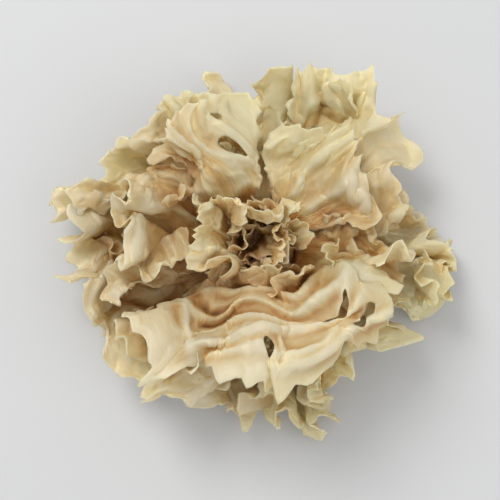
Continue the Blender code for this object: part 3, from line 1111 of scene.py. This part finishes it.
# How pale the jelly is: the lowest tone, and how much openness to the air (painted shade in the hollows),
# growth, clouds, patches, streaks and ridges (a painted highlight on ridges and veins, painted shade beside
# the veins) each add to it.
LOWEST_TONE = -0.80
TONE_SHARES = (0.62, 0.28, 0.5, 0.6, 0.35, 0.36)
SHADE_OPEN_RANGE = (0.06, 0.62)
RIM_PALENESS = 0.2
LEAST_ROUGH = 0.38
ROUGH_RANGE = 0.16
WRINKLE_WIDTH = 0.12
WRINKLE_SHARE = 0.4
JELLY_SETTINGS = {
    "IOR": 1.45,
    "Subsurface Weight": 0.8,
    "Subsurface Radius": (1.0, 0.75, 0.45),
    "Subsurface Scale": 0.0012,
}
BASE_SETTINGS = {
    "Roughness": 0.62,
    "Subsurface Weight": 0.2,
    "Subsurface Radius": (1.0, 0.6, 0.25),
    "Subsurface Scale": 0.001,
}


def jelly_material():
    """Dried jelly: ivory where it is thin and open to the air, amber in the hollows. The amber of the
    hollows is painted shade: the jelly is darker where less sky is open to it.
    """
    material, tree, shader = new_material("dried_jelly", JELLY_SETTINGS)
    place = tree.nodes.new("ShaderNodeTexCoord").outputs["Object"]
    grain = attribute(tree, "grain", "Vector")
    # Painted shade: the jelly is darker where it is hidden from the sky, in the hollows and under other
    # sheets.
    openness_for_shade = rescale(tree, attribute(tree, "open"), *SHADE_OPEN_RANGE)
    clouds = cloudy(tree, place, 160.0, 4.0)
    patches = cloudy(tree, place, 48.0, 2.0)
    streaks = cloudy(tree, stretched(tree, grain, (0.9, 0.16, 1.0)), 1.0, 3.0)
    wrinkles = ridged(tree, cloudy(tree, stretched(tree, grain, (1.0, 0.3, 1.0)), 1.0, 2.0))

    # ridge paints a highlight on the creases and veins, and shade beside the veins.
    growth, ridge = attribute(tree, "growth"), attribute(tree, "ridge")
    parts = openness_for_shade, growth, clouds, patches, streaks, ridge
    tone = added_up(tree, LOWEST_TONE, parts, TONE_SHARES)
    colour = colour_ramp(tree, tone, JELLY_TONES)
    yellower = rescale(tree, cloudy(tree, place, 32.0, 1.0), 0.42, 0.62)
    colour = blended(tree, yellower, colour, YELLOWER, "MULTIPLY")
    rim = arithmetic(tree, "MULTIPLY", attribute(tree, "rim"), RIM_PALENESS)
    colour = blended(tree, rim, colour, PALE_RIM)
    tree.links.new(colour, shader.inputs["Base Color"])

    rough = added_up(tree, LEAST_ROUGH, [rescale(tree, clouds, 0.3, 0.7)], [ROUGH_RANGE])
    tree.links.new(rough, shader.inputs["Roughness"])
    fine = cloudy(tree, stretched(tree, grain, (2.4, 0.9, 1.0)), 1.0, 3.0, 0.6)
    bumped(tree, shader, added_up(tree, fine, [wrinkles], [WRINKLE_SHARE]), 0.5, 0.25)
    shader.subsurface_method = "BURLEY"
    return material


def base_material():
    """The base: tough, brown and wrinkled, and paler on the cut face; darker where it is hidden from the
    sky, as painted shade.
    """
    material, tree, shader = new_material("tough_base", BASE_SETTINGS)
    place = tree.nodes.new("ShaderNodeTexCoord").outputs["Object"]
    clouds = cloudy(tree, place, 260.0, 5.0, 0.6)
    # Painted shade: the base is darker where it is hidden from the sky.
    openness_for_shade = rescale(tree, attribute(tree, "open"), 0.0, 0.5)
    tone = arithmetic(tree, "SUBTRACT", added_up(tree, clouds, [openness_for_shade], [0.35]), 0.18)
    skin = colour_ramp(tree, tone, BASE_TONES)
    speckle = cloudy(tree, place, 900.0, 3.0, 0.6)
    cut = colour_ramp(tree, speckle, CUT_TONES)
    split = tree.nodes.new("ShaderNodeSeparateXYZ")
    tree.links.new(place, split.inputs["Vector"])
    on_cut = rescale(tree, split.outputs["Z"], 0.7 * MM, 0.3 * MM)
    tree.links.new(blended(tree, on_cut, skin, cut), shader.inputs["Base Color"])
    bumped(tree, shader, cloudy(tree, place, 1500.0, 4.0, 0.6), 0.6, 0.2)
    return material


# The studio, in metres and watts: a pale floor, the lights' places, sizes and power, and the camera.
FLOOR_SETTINGS = {"Base Color": (0.83, 0.83, 0.82, 1), "Roughness": 0.6}
FLOOR_REACH = 6
LIGHT_ROWS = (("key", (-0.25, 0.3, 0.55), 0.34, 1.7), ("fill", (0.4, -0.25, 0.4), 0.5, 0.5))
SKY_SETTINGS = {"Color": (0.96, 0.97, 1.0, 1), "Strength": 0.52}
CAMERA_LENS = 90
CAMERA_ELEVATION = 80
CAMERA_TARGET = (-0.001, -0.001, 0.012)
CAMERA_DISTANCE = 0.235
CAMERA_CLIP = 0.01


def make_floor():
    bm = bmesh.new()
    bmesh.ops.create_grid(bm, x_segments=1, y_segments=1, size=FLOOR_REACH)
    floor = new_piece("floor", bm, new_material("pale_floor", FLOOR_SETTINGS)[0])


def make_light(name, place, size, power):
    """A round light that points at the head."""
    lamp = bpy.data.lights.new(name, "AREA")
    lamp.shape = "DISK"
    lamp.size = size
    lamp.energy = power
    light = new_object(name, lamp)
    light.location = place
    light.rotation_euler = Vector(place).to_track_quat("Z", "Y").to_euler()


def make_camera():
    """Looks down on the head, as the photo does."""
    camera_data = bpy.data.cameras.new("camera")
    camera_data.lens = CAMERA_LENS
    camera_data.clip_start = CAMERA_CLIP
    camera = new_object("camera", camera_data)
    elevation = math.radians(CAMERA_ELEVATION)
    back = Vector((0, -math.cos(elevation), math.sin(elevation)))
    camera.location = Vector(CAMERA_TARGET) + back * CAMERA_DISTANCE
    camera.rotation_mode = "QUATERNION"
    camera.rotation_quaternion = (-back).to_track_quat("-Z", "Y")
    bpy.context.scene.camera = camera


def make_world():
    world = bpy.data.worlds.new("studio")
    world.use_nodes = True
    set_inputs(world.node_tree.nodes["Background"], SKY_SETTINGS)
    bpy.context.scene.world = world
    bpy.context.scene.view_settings.view_transform = "Standard"


def main():
    make_world()
    make_floor()
    for row in LIGHT_ROWS:
        make_light(*row)
    make_camera()
    jelly = jelly_material()
    fronds = grow_fronds()
    frills = list_frills()
    frill_sheets = grow_frills(frills, fronds)
    bud_sheets = grow_small(list_buds(), frond_points, BUD_SUNK, BUD_GROWTH, BUD_THICKNESS)
    tree, ways = find_open_air(list(fronds.values()) + frill_sheets + bud_sheets)

    base = make_base(base_material(), tree, ways)
    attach(base, "root")
    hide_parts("base")
    buds = make_sheet_piece("hollow_frills", bud_sheets, jelly)
    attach(buds, "root")
    for frond in FRONDS:
        own = [sheet for frill, sheet in zip(frills, frill_sheets) if frill["frond"] == frond["name"]]
        piece = make_sheet_piece(frond["name"] + "_sheet", [fronds[frond["name"]]] + own, jelly)
        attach(piece, "root")
        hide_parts(frond["name"])


main()
